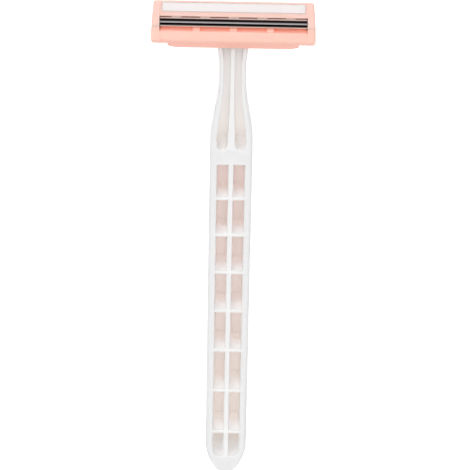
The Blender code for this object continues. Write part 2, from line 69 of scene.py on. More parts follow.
# Neck
NECK_START = 0.0955
NECK_STEPS = 40
SHOULDER = 0.12258
WAIST_SETBACK = 0.0092
WAIST = SHOULDER - WAIST_SETBACK
WAIST_LENGTH = 0.0045
WAIST_WIDTH = 0.00665
NECK_FLARE = 0.0008
NECK_BACK_RISE = 0.0012
NECK_OVERRUN = 0.0010
CHANNEL_START = 0.09505
CHANNEL_ROUNDING = 0.0015
CHANNEL_RAMP = 0.0022
CHANNEL_LOW_FLOOR = 0.0017  # where the channels are wide
CHANNEL_HIGH_FLOOR = 0.0029  # at the waist
CHANNEL_STEPS = 8
FIRST_CHANNEL_DEPTH = 0.0002
NECK_RIB = 0.0011
RIB_ROOT = 0.0019
NECK_FLANGE = 0.0012
FLANGE_ROOT = 0.0017

# Ladder of cavities
CAVITY_ROWS = 8
FIRST_RIM = 0.09105
LAST_RIM = 0.01279
LADDER_END = 0.00557
ROW_GROWTH_SHARE = 0.047  # of the first row's pitch, which each next pitch gains
RUNG_THICKNESS = 0.0009
MIDDLE_RIB = 0.00125
CAVITY_WIDTH = 0.00290
CAVITY_INNER = MIDDLE_RIB / 2
CAVITY_OUTER = CAVITY_INNER + CAVITY_WIDTH
CAVITY_FLOOR = 0.0011
CAVITY_DRAFT = math.radians(2.0)
CAVITY_SCOOP = 0.0016
SCOOP_SEGMENTS = 6
LAST_SCOOP_LENGTH = 0.0042
LAST_SCOOP_SHARE = 0.95
LAST_CORNER_RADIUS = 0.0022
LAST_CORNER_STEPS = 6
RIM_ROUNDING = 0.00013
RIM_SEGMENTS = 3

# Tongue behind the head
TONGUE_LENGTH = 0.0049
TONGUE_WIDTH = 0.0052
TONGUE_BACK = 0.0017
TONGUE_THICKNESS = 0.00085
TONGUE_ROOT = 0.0020
TONGUE_RIB = 0.0009
TONGUE_RIB_TOP = 0.0049
LATCH_HEIGHT = 0.0006
LATCH_LENGTH = 0.0012
LATCH_WIDTH = 0.0024
LATCH_SETBACK = 0.0013

# Head
HANDLE_TO_FACE = 0.12955
HEAD_TILT = math.radians(36.0)
HALF_HEAD = 0.020
HALF_FACE = 0.005155
HEAD_THICKNESS = 0.0042
CHEEK_WIDTH = 0.00202
CHEEK_HEIGHT = 0.00012
FRONT_HEIGHT = 0.0010
FRONT_UNDERCUT = 0.0005
BACK_TAPER = 0.00055
TAPER_STEPS = 6
EDGE_ROUNDING = 0.0005
PARTING_LINE = -0.0014
PARTING_DEPTH = 0.0031
PARTING_GAP = 0.00003
REAR_WALL = 0.0005
HALF_BAY = HALF_HEAD - CHEEK_WIDTH
FINE_ROUNDING = 0.00007
FINE_SEGMENTS = 2

# Blades
BLADE_TILT = math.radians(25.0)
BLADE_THICKNESS = 0.0001
BLADE_SPAN = 0.00087
UPPER_EDGE = -0.00044
LOWER_EDGE_DROP = 0.00005
STACK_SPACING = BLADE_SPAN * math.sin(BLADE_TILT) + LOWER_EDGE_DROP * math.cos(BLADE_TILT)
STACK_STAGGER = BLADE_SPAN * math.cos(BLADE_TILT) - LOWER_EDGE_DROP * math.sin(BLADE_TILT)
STACK_GAP = 0.00005
CAP_UNDERSIDE = BLADE_THICKNESS / 2 + STACK_GAP
SEAT_DROP = STACK_SPACING + CAP_UNDERSIDE

# Cap
LIP_FRONT = 0.00125
LIP_DROP = 0.00008
LIP_ROUNDING = 0.0002
LIP_NUB_COUNT = 5
LIP_NUB_WIDTH = 0.0024
LIP_NUB_PITCH = 0.00694
LIP_NUB_REACH = 0.00024
STUD_COUNT = 3
STUD_PITCH = 0.0120
STUD_SEGMENTS = 32
STUD_RADIUS = 0.0007
STUD_HOLE_RADIUS = 0.00085
STUD_REACH = 0.0013
STUD_FROM_EDGE = 0.0029

# Strip
STRIP_FRONT = 0.00241
STRIP_BACK = 0.00456
STRIP_LENGTH = 0.03466
STRIP_PROUD = 0.00004
STRIP_GAP = 0.00001
STRIP_ROUNDING = 0.00003
GROOVE_DEPTH = 0.0006

# Platform
GUARD_BACK = -0.00253
GUARD_TOP = -0.00435
GUARD_FRONT = -0.00505
GUARD_CROWN = 0.0001
GUARD_BASE = -0.00115
RECESS_DEPTH = 0.0016
SEAT_FRONT = -0.00092
GUARD_RIB_COUNT = 3
GUARD_RIB_WIDTH = 0.00175
GUARD_RIB_PITCH = 0.0090
GUARD_RIB_FALL = 0.0007
SKIRT_ROOT_INSET = 0.00395
SKIRT_INSET = 0.0059
SKIRT_OVERHANG = 0.00065
SKIRT_DEPTH = 0.0037
SKIRT_ROUNDING = 0.0005
SOCKET_HALF_WIDTH = 0.0046
SOCKET_MOUTH = 0.12288
SOCKET_BACK = 0.0003
SOCKET_HEIGHT = 0.0062
SOCKET_TOP_LENGTH = 0.0026
SOCKET_END_WALL = 0.0030
SOCKET_END_HEIGHT = 0.0017

CLEARANCE = 0.0003
OVERRUN = 0.001
TINY = 0.000002
TINY_DIGITS = 6  # decimals, with which places closer than TINY count as one
MERGE_DISTANCE = 0.00001
SLIVER_WIDTH = 0.00002  # of the slivers that are left where the skirt meets the head's rounded edge
SHARP_ANGLE = math.radians(35)
FLAT_ANGLE = math.radians(0.5)

# Where cutters reach past the head
PAST_SIDE = HALF_HEAD + OVERRUN
PAST_FACE = HALF_FACE + OVERRUN
PAST_TOP = CHEEK_HEIGHT + OVERRUN

# Plastics and wax
BLACK = (0.0, 0.0, 0.0)
WHITE = (1.0, 1.0, 1.0)
WHITE_PLASTIC = {
    "colour": (0.985, 0.985, 0.985), "flow_colour": (0.97, 0.97, 0.97), "roughness": 0.36,
    "scatter": (1.0, 1.0, 1.0), "scatter_depth": 0.0014,
}
PLATFORM_PINK = {
    "colour": (0.985, 0.59, 0.495), "flow_colour": (0.98, 0.575, 0.48), "roughness": 0.36,
    "scatter": (1.0, 1.0, 1.0), "scatter_depth": 0.0007,
}
CAP_PINK = {
    "colour": (0.955, 0.605, 0.535), "flow_colour": (0.95, 0.59, 0.52), "roughness": 0.36,
    "scatter": (1.0, 1.0, 1.0), "scatter_depth": 0.0007,
}
DARK_PLASTIC = {
    "colour": (0.045, 0.04, 0.042), "flow_colour": (0.05, 0.045, 0.045), "roughness": 0.5,
    "scatter": (1.0, 1.0, 1.0), "scatter_depth": 0.00001,
}
STRIP_WAX = {
    "colour": (0.83, 0.785, 0.77), "flow_colour": (0.82, 0.76, 0.765), "roughness": 0.3,
    "scatter": (1.0, 0.8, 0.8), "scatter_depth": 0.0005,
}
FLOW_SCALE = 120.0  # marks for each metre, roughly
FLOW_DETAIL = 3.0
FLOW_DISTORTION = 0.8
GRAIN_SCALE = 9000.0
GRAIN_DETAIL = 4.0
GRAIN_STRENGTH = 0.25
GRAIN_DEPTH = 0.00002
ROUGHNESS_SPREAD = 0.12
STRIP_EDGE = 0.0003
STRIP_EDGE_TINT = (1.2, 1.04, 1.08)

# Tints of the white by depth, as a share of the full depth there: painted light, brighter deeper in to
# offset the shade of cavities and channels, and warmer at their floors for the light that the plastic
# passes on
RIM_TINTS = [(0.0, (0.82, 0.82, 0.825)), (0.05, (0.86, 0.86, 0.86))]
HEAD_CAVITY_LIGHT_TINTS = RIM_TINTS + [
    (0.14, (0.98, 0.975, 0.97)), (0.6, (1.0, 0.985, 0.975)), (1.0, (1.0, 0.885, 0.845)),
]
TAIL_CAVITY_LIGHT_TINTS = RIM_TINTS + [
    (0.14, (0.99, 0.985, 0.98)), (0.6, (1.0, 0.99, 0.985)), (1.0, (1.0, 0.915, 0.885)),
]
CHANNEL_LIGHT_TINTS = RIM_TINTS + [
    (0.15, (0.98, 0.975, 0.97)), (0.5, (1.0, 0.985, 0.975)), (1.0, (1.0, 0.93, 0.905)),
]
# The middle rib keeps at least this share, so that it gets a little painted light
THIN_RIB_SHARE = 0.055  # the least on the middle rib, which lets more light through

# Painted glows, given off by the plastic though it is no lamp, for the light that it passes on: in cavities
# and channels by the same share, in the recess, on the skirt
HEAD_CAVITY_GLOWS = [
    (0.0, BLACK), (0.2, (0.02, 0.022, 0.024)), (0.7, (0.03, 0.015, 0.012)), (1.0, (0.05, 0.01, 0.005)),
]
TAIL_CAVITY_GLOWS = [
    (0.0, BLACK), (0.2, (0.03, 0.032, 0.034)), (0.7, (0.065, 0.058, 0.05)), (1.0, (0.1, 0.078, 0.066)),
]
CHANNEL_GLOW = (0.034, 0.022, 0.016)
CHANNEL_GLOW_START = 0.15
RECESS_GLOW = (0.17, 0.02, 0.0)
SKIRT_GLOW = (0.14, 0.01, 0.0)

# Steel, by the distance from a blade's edge, with painted reflections and shade: the flat painted dark as a
# reflection of a dark room, a painted light line where the upper blade mirrors the cap's lip, painted shade
# under the lip's slits, and a painted pink glint at the lower blade's edge
BAND_REACH = 0.004
UPPER_PAINTED_BANDS = [
    (0.0, (0.36, 0.335, 0.34)), (0.00024, (0.30, 0.28, 0.285)), (0.00038, (0.18, 0.165, 0.17)),
    (0.0005, (0.045, 0.035, 0.04)), (0.0006, (0.006, 0.003, 0.004)), (0.0011, (0.004, 0.001, 0.001)),
    (0.00122, (0.2, 0.18, 0.18)), (0.00134, (0.85, 0.83, 0.81)), (0.00154, (0.9, 0.86, 0.84)),
    (0.00166, (0.32, 0.2, 0.16)), (0.004, (0.18, 0.11, 0.1)),
]
LOWER_PAINTED_BANDS = [
    (0.0, (0.80, 0.62, 0.54)), (0.00007, (0.62, 0.49, 0.43)), (0.00015, (0.23, 0.195, 0.17)),
    (0.00028, (0.14, 0.12, 0.11)), (0.0004, (0.02, 0.012, 0.012)), (0.0007, (0.006, 0.003, 0.003)),
    (0.0012, (0.03, 0.02, 0.02)), (0.002, (0.3, 0.28, 0.28)), (0.004, (0.4, 0.38, 0.38)),
]
STREAK_SCALES = (400.0, 16000.0, 16000.0)
STREAK_DETAIL = 3.0
STREAK_SPREAD = 0.15
STEEL_ROUGHNESS = 0.22

# Camera and light
CAMERA_TILT = math.radians(28.0)
CAMERA_TURN = math.radians(0.1)
CAMERA_ROLL = math.radians(1.15)
CAMERA_DISTANCE = 0.6
CAMERA_AIM = Vector((0.00137, TAIL_Y + 0.07191, 0.0078))
SENSOR_WIDTH = 36.0
LENS = 181.5
CLIP_START = 0.01
FLOOR_SIZE = 3.0
FLOOR_DROP = 0.0001
FLOOR_COLOUR = (0.9, 0.9, 0.9)
FLOOR_ROUGHNESS = 0.9
FLOOR_GLOW = 0.6
WORLD_LEVEL = 0.38
LAMP_SIZE = 2.2
KEY_PLACE = Vector((-0.375, 1.93, 1.55))
KEY_LEVEL = 0.615
FILL_PLACE = Vector((0.25, -1.12, 2.22))
FILL_LEVEL = 0.43

FACE_HEIGHT = (
    (HALF_FACE - EDGE_ROUNDING) * math.sin(HEAD_TILT)
    + (HEAD_THICKNESS - EDGE_ROUNDING) * math.cos(HEAD_TILT)
    + EDGE_ROUNDING
)
FACE_MIDDLE = (0, TAIL_Y + HANDLE_TO_FACE, FACE_HEIGHT)
HEAD_PLACE = Matrix.Translation(FACE_MIDDLE) @ Matrix.Rotation(-HEAD_TILT, 4, "X")
BLADE_PLACE = Matrix.Translation((0, UPPER_EDGE, 0)) @ Matrix.Rotation(-BLADE_TILT, 4, "X")


# Modelling helpers

def deselect():
    if bpy.context.mode != "OBJECT":
        bpy.ops.object.mode_set(mode="OBJECT")
    bpy.ops.object.select_all(action="DESELECT")


def choose(piece):
    """Selects one piece alone, and makes it the active one."""
    deselect()
    bpy.context.view_layer.objects.active = piece
    piece.select_set(True)


def added(name):
    """Names what an operator has just added, and puts its place and size into its mesh."""
    piece = bpy.context.active_object
    piece.name = piece.data.name = name
    bpy.ops.object.transform_apply(location=True, rotation=True, scale=True)
    return piece


def box(name, x, y, z):
    """A box between two places along each axis."""
    deselect()
    middle = [(low + high) / 2 for low, high in (x, y, z)]
    size = [high - low for low, high in (x, y, z)]
    bpy.ops.mesh.primitive_cube_add(size=1, location=middle, scale=size)
    return added(name)


def bar(name, x, y, radius, low, high):
    """A round bar along z."""
    deselect()
    bpy.ops.mesh.primitive_cylinder_add(
        vertices=STUD_SEGMENTS, radius=radius, depth=high - low, location=(x, y, (low + high) / 2)
    )
    return added(name)


def prism(name, outline, x):
    """A solid with an outline of (y, z) points, drawn out along x from one place to another."""
    deselect()
    bpy.ops.mesh.primitive_circle_add(vertices=len(outline), fill_type="NGON")
    piece = added(name)
    for vertex, (y, z) in zip(piece.data.vertices, outline):
        vertex.co = (x[0], y, z)
    with editing(piece):
        bpy.ops.mesh.select_all(action="SELECT")
        bpy.ops.mesh.extrude_region_move(TRANSFORM_OT_translate={"value": (x[1] - x[0], 0, 0)})
        bpy.ops.mesh.select_all(action="SELECT")
        bpy.ops.mesh.normals_make_consistent(inside=False)
    return piece


@contextmanager
def editing(piece):
    """Edit mode on one piece, with nothing of it selected at first."""
    choose(piece)
    bpy.ops.object.mode_set(mode="EDIT")
    bpy.ops.mesh.select_all(action="DESELECT")
    yield
    bpy.ops.object.mode_set(mode="OBJECT")


def pick(piece, kind, test):
    """Selects the vertices, edges or faces that pass a test, and nothing else."""
    bpy.ops.mesh.select_all(action="DESELECT")
    bpy.ops.mesh.select_mode(type=kind)
    shape = bmesh.from_edit_mesh(piece.data)
    parts = {"VERT": shape.verts, "EDGE": shape.edges, "FACE": shape.faces}[kind]
    for part in parts:
        if test(part):
            part.select_set(True)
    shape.select_flush_mode()
    bmesh.update_edit_mesh(piece.data)


def slice_at(place, normal, selected_only=False):
    """Draws new edges where a plane crosses the faces."""
    if not selected_only:
        bpy.ops.mesh.select_all(action="SELECT")
    bpy.ops.mesh.bisect(plane_co=place, plane_no=normal, threshold=TINY)


def flatten(axis, value):
    """Brings what is selected to one place along an axis."""
    scale = [1.0, 1.0, 1.0]
    centre = [0.0, 0.0, 0.0]
    scale[axis] = 0.0
    centre[axis] = value
    bpy.ops.transform.resize(value=scale, center_override=centre)


def near(value, place):
    return abs(value - place) < TINY


def modify(piece, kind, **settings):
    """Adds a modifier and applies it."""
    choose(piece)
    modifier = piece.modifiers.new(kind.lower(), kind)
    for name, value in settings.items():
        setattr(modifier, name, value)
    bpy.ops.object.modifier_apply(modifier=modifier.name)


def settle(piece):
    """Merges points that a Boolean left double, and puts all in one order, which it leaves to chance."""
    shape = bmesh.new()
    shape.from_mesh(piece.data)
    bmesh.ops.remove_doubles(shape, verts=shape.verts, dist=TINY)
    for place, vertex in enumerate(sorted(shape.verts, key=lambda vertex: tuple(vertex.co))):
        vertex.index = place
    shape.verts.sort()
    for kind in (shape.edges, shape.faces):
        ordered = sorted(kind, key=lambda element: sorted(vertex.index for vertex in element.verts))
        for place, element in enumerate(ordered):
            element.index = place
        kind.sort()
    shape.to_mesh(piece.data)
    shape.free()


def combine(piece, tool, operation):
    """Joins another shape to a piece, or cuts it away, and removes it."""
    modify(piece, "BOOLEAN", operation=operation, solver="EXACT", object=tool)
    bpy.data.objects.remove(tool, do_unlink=True)
    settle(piece)


def join(pieces):
    """One object of several that don't touch."""
    choose(pieces[0])
    for piece in pieces:
        piece.select_set(True)
    bpy.ops.object.join()
    return pieces[0]


def placed(piece, matrix):
    """Moves a piece to its place in a frame, and keeps that in its mesh."""
    choose(piece)
    piece.matrix_world = matrix
    bpy.ops.object.transform_apply(location=True, rotation=True, scale=True)
    return piece


def soften(piece):
    """Rounds all sharp edges a little."""
    modify(piece, "BEVEL", width=FINE_ROUNDING, segments=FINE_SEGMENTS, limit_method="ANGLE",
           angle_limit=SHARP_ANGLE, use_clamp_overlap=True)


def finished(piece, node, surface):
    """Shades a piece, gives it its material, and puts it in place of a CAD node."""
    choose(piece)
    bpy.ops.object.shade_smooth_by_angle(angle=SHARP_ANGLE)
    modify(piece, "WEIGHTED_NORMAL", keep_sharp=True, use_face_influence=True)
    piece.data.materials.clear()
    piece.data.materials.append(surface)
    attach(piece, "root")
    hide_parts(node)
    return piece


def ease(value):
    """A smooth step from 0 to 1."""
    value = min(max(value, 0.0), 1.0)
    return (1 - math.cos(math.pi * value)) / 2


def spread(count, pitch):
    """Places a pitch apart, on both sides of 0 alike."""
    return [pitch * (number - (count - 1) / 2) for number in range(count)]


# Handle

def half_width(s):
    if s < TAIL_ROUNDING_LENGTH:
        left = 1 - s / TAIL_ROUNDING_LENGTH
        return HALF_HANDLE * (1 - left ** TAIL_ROUNDING_POWER) ** (1 / TAIL_ROUNDING_POWER)
    if s < WAIST:
        return HALF_HANDLE + (WAIST_WIDTH / 2 - HALF_HANDLE) * ease((s - NECK_START) / (WAIST - NECK_START))
    waist_end = WAIST + WAIST_LENGTH
    return (WAIST_WIDTH + NECK_FLARE * ease((s - waist_end) / (SHOULDER - waist_end))) / 2


def front_face(s):
    return TAIL_THICKNESS - FRONT_SLOPE * s


def back_face(s):
    return NECK_BACK_RISE * ease((s - NECK_START) / (SHOULDER - NECK_START))


def channel_floor(s):
    rise = ease((s - CHANNEL_START) / (WAIST - CHANNEL_START))
    return CHANNEL_LOW_FLOOR + (CHANNEL_HIGH_FLOOR - CHANNEL_LOW_FLOOR) * rise


def scoop(s, start, length):
    """A hollow curve's rise: all of it at start, and none from length on."""
    left = min(max(1 - (s - start) / length, 0.0), 1.0)
    return 1 - math.sqrt(1 - left ** 2)


def tail_loss(s):
    """How much the tail's edge rounding takes from each face at s."""
    if s >= TAIL_EDGE_RADIUS:
        return 0.0
    return TAIL_EDGE_RADIUS - math.sqrt(TAIL_EDGE_RADIUS ** 2 - (TAIL_EDGE_RADIUS - s) ** 2)


def cavity_rows():
    """The lower and upper end of each row of cavities."""
    pitches = [1 + ROW_GROWTH_SHARE * row for row in range(CAVITY_ROWS - 1)]
    unit = (FIRST_RIM - LAST_RIM) / sum(pitches)
    rim = FIRST_RIM
    rows = []
    for pitch in pitches:
        rows.append((rim - unit * pitch + RUNG_THICKNESS, rim))
        rim -= unit * pitch
    return rows + [(LADDER_END, rim)]


def grid_lines(s):
    """The inner and outer line of the grid on the front face at s: the sides of cavities and channels.

    In the tail, where there are none, the two lines only draw together.
    """
    if s < LADDER_END - TINY:
        share = half_width(s) / HALF_HANDLE
        return CAVITY_INNER * share, CAVITY_OUTER * share / 2
    if s < LADDER_END + LAST_CORNER_RADIUS:
        left = min(LAST_CORNER_RADIUS, LAST_CORNER_RADIUS - (s - LADDER_END))
        corner = LAST_CORNER_RADIUS - math.sqrt(LAST_CORNER_RADIUS ** 2 - left ** 2)
        return CAVITY_INNER, CAVITY_OUTER - corner
    if s < CHANNEL_START:
        return CAVITY_INNER, CAVITY_OUTER
    root = 1 - ease((s - CHANNEL_START) / (WAIST - CHANNEL_START))
    inner = (NECK_RIB + (RIB_ROOT - NECK_RIB) * root) / 2
    outer = half_width(s) - NECK_FLANGE - (FLANGE_ROOT - NECK_FLANGE) * root
    left = max(0.0, 1 - (s - CHANNEL_START) / CHANNEL_ROUNDING)
    narrowing = (outer - inner) / 2 * (1 - math.sqrt(1 - left ** 2))
    return inner + narrowing, outer - narrowing


def round_end(start, length, steps, first=FIRST_STEP_SHARE):
    """Places along a round end, closer together towards its tip, at start."""
    places = []
    for step in range(steps):
        turn = math.pi / 2 * (step + first) / steps
        places.append(start + length * (1 - math.cos(turn)))
    return places


def handle_stations(rows):
    """Where the handle is cut across to be shaped."""
    tail = [s for s in round_end(0.0, TAIL_ROUNDING_LENGTH, TAIL_STEPS)
            if not LADDER_END <= s <= LADDER_END + LAST_CORNER_RADIUS]
    corner = round_end(LADDER_END, LAST_CORNER_RADIUS, LAST_CORNER_STEPS, first=1)
    ladder = [s for row in rows for s in row]
    channel = round_end(CHANNEL_START, CHANNEL_ROUNDING, CHANNEL_STEPS, first=1)
    start = CHANNEL_START + CHANNEL_ROUNDING
    neck = [start + (SHOULDER - start) * (step + 1) / NECK_STEPS for step in range(NECK_STEPS)]
    return sorted(tail + corner + ladder + [TAIL_ROUNDING_LENGTH] + channel + neck)


def shape_rings(handle, stations):
    """Gives the straight bar its outline, section by section."""
    for s in stations:
        y = TAIL_Y + s
        share = half_width(s) / HALF_HANDLE
        for line, place in zip((CAVITY_INNER, CAVITY_OUTER), grid_lines(s)):
            pick(handle, "VERT", lambda v: near(v.co.y, y) and near(abs(v.co.x), line)
                 and near(v.co.z, TAIL_THICKNESS))
            bpy.ops.transform.resize(value=(place / line / share, 1, 1), center_override=(0, y, 0))
        low = back_face(s) + tail_loss(s)
        high = front_face(s) - tail_loss(s)
        pick(handle, "VERT", lambda v: near(v.co.y, y))
        bpy.ops.transform.resize(value=(share, 1, (high - low) / TAIL_THICKNESS), center_override=(0, y, 0))
        bpy.ops.transform.translate(value=(0, 0, low))


def inside_grid(centre, start, end):
    """Whether a face of the front lies between the grid's lines, from start to end."""
    s = centre.y - TAIL_Y
    if not start < s < end:
        return False
    inner, outer = grid_lines(s)
    return inner < abs(centre.x) < outer


def core_ladder(handle, rows):
    """Sinks the cavities into the front face, with drafted walls and one flat floor."""
    for low, high in rows:
        pick(handle, "FACE", lambda f: f.normal.z > CORED_NORMAL
             and inside_grid(f.calc_center_median(), low, high))
        depth = front_face((low + high) / 2) - CAVITY_FLOOR
        bpy.ops.mesh.inset(thickness=depth * math.tan(CAVITY_DRAFT), depth=-depth)
        flatten(2, CAVITY_FLOOR)


def core_channels(handle, stations):
    """Sinks the neck's channels, whose floors rise to the front face at their lower end."""
    pick(handle, "FACE", lambda f: f.normal.z > CORED_NORMAL
         and inside_grid(f.calc_center_median(), CHANNEL_START, SHOULDER + NECK_OVERRUN))
    bpy.ops.mesh.extrude_region_move(TRANSFORM_OT_translate={"value": (0, 0, -OVERRUN)})
    bottom = {v.index for v in bmesh.from_edit_mesh(handle.data).verts if v.select}
    for s in [s for s in stations if s >= CHANNEL_START]:
        pick(handle, "VERT", lambda v: v.index in bottom and near(v.co.y, TAIL_Y + s))
        top = front_face(s) - FIRST_CHANNEL_DEPTH
        low = channel_floor(s)
        flatten(2, low + (top - low) * scoop(s, CHANNEL_START, CHANNEL_RAMP))


def round_rims(handle):
    """Rounds the edges where cavities and channels open in the front face."""
    def on_rim(edge):
        if any(abs(v.co.x) > HALF_HANDLE - FRONT_CORNER_RADIUS for v in edge.verts):
            return False
        if any(v.co.z < front_face(v.co.y - TAIL_Y) - 2 * TINY for v in edge.verts):
            return False
        return len(edge.link_faces) == 2 and edge.calc_face_angle() > SHARP_ANGLE

    pick(handle, "EDGE", on_rim)
    bpy.ops.mesh.bevel(offset=RIM_ROUNDING, segments=RIM_SEGMENTS, affect="EDGES", clamp_overlap=False,
                       face_strength_mode="AFFECTED")


def scoop_last_floor(handle, row):
    """Lets the floor of the last row rise in a hollow curve towards its round end."""
    low, high = row

    def on_floor(vertex):
        return near(vertex.co.z, CAVITY_FLOOR) and low - OVERRUN < vertex.co.y - TAIL_Y < high

    rib_side = CAVITY_INNER + OVERRUN / 2
    shortest = LAST_CORNER_RADIUS / LAST_CORNER_STEPS
    squared = {}
    for edge in bmesh.from_edit_mesh(handle.data).edges:
        inner, outer = sorted(edge.verts, key=lambda v: abs(v.co.x))
        from_rib = on_floor(inner) and on_floor(outer) and abs(inner.co.x) < rib_side
        if from_rib and abs(outer.co.x - inner.co.x) > shortest:
            squared[inner.index] = outer.co.y
    for number, y in squared.items():
        pick(handle, "VERT", lambda v: v.index == number)
        flatten(1, y)
    full_rise = (front_face(low) - CAVITY_FLOOR) * LAST_SCOOP_SHARE
    places = {round(v.co.y, TINY_DIGITS) for v in bmesh.from_edit_mesh(handle.data).verts if on_floor(v)}
    for y in sorted(places):
        pick(handle, "VERT", lambda v: on_floor(v) and near(v.co.y, y))
        bpy.ops.transform.translate(value=(0, 0, full_rise * scoop(y - TAIL_Y, low, LAST_SCOOP_LENGTH)))


def round_floors(handle, rows):
    """Scoops the tail side of each cavity's floor."""
    def at_floor(edge):
        return (all(near(v.co.z, CAVITY_FLOOR) for v in edge.verts) and edge.calc_face_angle() > SHARP_ANGLE
                and all(v.co.y < TAIL_Y + FIRST_RIM for v in edge.verts))

    for low, high in rows:
        pick(handle, "EDGE", lambda e: at_floor(e) and near(e.verts[1].co.y, e.verts[0].co.y)
             and low < e.verts[0].co.y - TAIL_Y < (low + high) / 2)
        bpy.ops.mesh.bevel(offset=CAVITY_SCOOP, segments=SCOOP_SEGMENTS, affect="EDGES", clamp_overlap=True)


def add_tongue(handle):
    """The tongue that the head sits on, with its stiffening rib and the latch under it."""
    root = TAIL_Y + SHOULDER - TONGUE_ROOT
    tip = TAIL_Y + SHOULDER + TONGUE_LENGTH
    latch_end = tip - LATCH_SETBACK
    top = TONGUE_BACK + TONGUE_THICKNESS
    middle = TONGUE_BACK + TONGUE_THICKNESS / 2
    plate = box("tongue_plate", (-TONGUE_WIDTH / 2, TONGUE_WIDTH / 2), (root, tip), (TONGUE_BACK, top))
    rib = box("tongue_rib", (-TONGUE_RIB / 2, TONGUE_RIB / 2), (root, tip), (middle, TONGUE_RIB_TOP))
    latch = box("latch", (-LATCH_WIDTH / 2, LATCH_WIDTH / 2), (latch_end - LATCH_LENGTH, latch_end),
                (TONGUE_BACK - LATCH_HEIGHT, middle))
    combine(plate, rib, "UNION")
    combine(plate, latch, "UNION")
    soften(plate)
    combine(handle, plate, "UNION")


def mark_depth(handle, name, start, end, floor):
    """Stores how deep each point in the cavities or channels lies, as a share of the way to their floor."""
    depth = handle.data.attributes.new(name, "FLOAT", "POINT")
    for vertex, stored in zip(handle.data.vertices, depth.data):
        s = vertex.co.y - TAIL_Y
        rib_edge, outer_edge = [line + RIM_ROUNDING + TINY for line in grid_lines(s)]
        if abs(vertex.co.x) < outer_edge and vertex.co.z > floor - TINY and start < s < end:
            # the middle rib gets a least share, which gives it a little painted light
            least = THIN_RIB_SHARE if abs(vertex.co.x) < rib_edge else 0.0
            stored.value = max(least, (front_face(s) - vertex.co.z) / (front_face(s) - floor))


def make_handle(surface):
    rows = cavity_rows()
    stations = handle_stations(rows)
    end = SHOULDER + NECK_OVERRUN
    handle = box("handle_shell", (-HALF_HANDLE, HALF_HANDLE), (TAIL_Y + stations[0], TAIL_Y + end),
                 (0.0, TAIL_THICKNESS))
    with editing(handle):
        for high, radius in ((True, FRONT_CORNER_RADIUS), (False, BACK_CORNER_RADIUS)):
            pick(handle, "EDGE", lambda e: abs(e.verts[0].co.y - e.verts[1].co.y) > OVERRUN
                 and (e.verts[0].co.z > TAIL_THICKNESS / 2) == high)
            bpy.ops.mesh.bevel(offset=radius, segments=CORNER_SEGMENTS, affect="EDGES")
        for s in stations[1:]:
            slice_at((0, TAIL_Y + s, 0), (0, 1, 0))
        for line in (CAVITY_INNER, CAVITY_OUTER):
            for x in (-line, line):
                pick(handle, "FACE", lambda f: f.normal.z > FLAT_NORMAL)
                slice_at((x, 0, 0), (1, 0, 0), selected_only=True)
        shape_rings(handle, stations + [end])
        core_ladder(handle, rows)
        round_floors(handle, rows[:-1])
        scoop_last_floor(handle, rows[-1])
        core_channels(handle, stations + [end])
        bpy.ops.mesh.select_all(action="SELECT")
        bpy.ops.mesh.bisect(plane_co=(0, TAIL_Y + SHOULDER, 0), plane_no=(0, 1, 0), threshold=TINY,
                            clear_outer=True, use_fill=True)
        round_rims(handle)
        bpy.ops.mesh.select_all(action="SELECT")
        bpy.ops.mesh.remove_doubles(threshold=MERGE_DISTANCE)
    add_tongue(handle)
    mark_depth(handle, "cavity_depth", LADDER_END - RIM_ROUNDING, FIRST_RIM + RIM_ROUNDING, CAVITY_FLOOR)
    mark_depth(handle, "channel_depth", CHANNEL_START - RIM_ROUNDING, SHOULDER + TINY, CHANNEL_LOW_FLOOR)
    return finished(handle, "handle", surface)


# Head

def arc(centre, radius, start, end):
    """Points on an arc, whose angles are in quarter turns."""
    points = []
    for step in range(CORNER_SEGMENTS + 1):
        turn = math.pi / 2 * (start + (end - start) * step / CORNER_SEGMENTS)
        points.append((centre[0] + radius * math.cos(turn), centre[1] + radius * math.sin(turn)))
    return points


def stack_line(y, drop):
    """The height, at y, of a plane that lies drop below the middle of the upper blade."""
    return -(y - UPPER_EDGE) * math.tan(BLADE_TILT) - drop / math.cos(BLADE_TILT)


def head_block(name):
    """The outer shape of cap and platform together: narrower at the back, and undercut at the front."""
    block = box(name, (-HALF_HEAD, HALF_HEAD), (-HALF_FACE, HALF_FACE), (-HEAD_THICKNESS, CHEEK_HEIGHT))
    with editing(block):
        for step in range(1, TAPER_STEPS):
            slice_at((0, HALF_FACE * (2 * step / TAPER_STEPS - 1), 0), (0, 1, 0))
        slice_at((0, 0, -FRONT_HEIGHT), (0, 0, 1))
        for step in range(1, TAPER_STEPS + 1):
            share = step / TAPER_STEPS
            pick(block, "VERT", lambda v: near(v.co.y, HALF_FACE * (2 * share - 1)))
            narrower = 1 - BACK_TAPER * share ** 2 / HALF_HEAD
            bpy.ops.transform.resize(value=(narrower, 1, 1), center_override=(0, 0, 0))
        pick(block, "VERT", lambda v: near(v.co.y, -HALF_FACE) and near(v.co.z, -HEAD_THICKNESS))
        flatten(1, FRONT_UNDERCUT - HALF_FACE)
        pick(block, "EDGE", lambda e: e.calc_face_angle() > SHARP_ANGLE)
        bpy.ops.mesh.bevel(offset=EDGE_ROUNDING, segments=CORNER_SEGMENTS, affect="EDGES")
        bpy.ops.mesh.select_all(action="SELECT")
        bpy.ops.mesh.quads_convert_to_tris()
    return block


def studs(radius, low, high):
    """Round bars square to the blades, at the places of the cap's studs."""
    bars = [bar("stud", x, STUD_FROM_EDGE, radius, low, high) for x in spread(STUD_COUNT, STUD_PITCH)]
    return placed(join(bars), BLADE_PLACE)


def nubs(name, outline, width, count, pitch):
    """A row of short solids with one outline, a pitch apart along the head."""
    return join([prism(name, outline, (x - width / 2, x + width / 2)) for x in spread(count, pitch)])


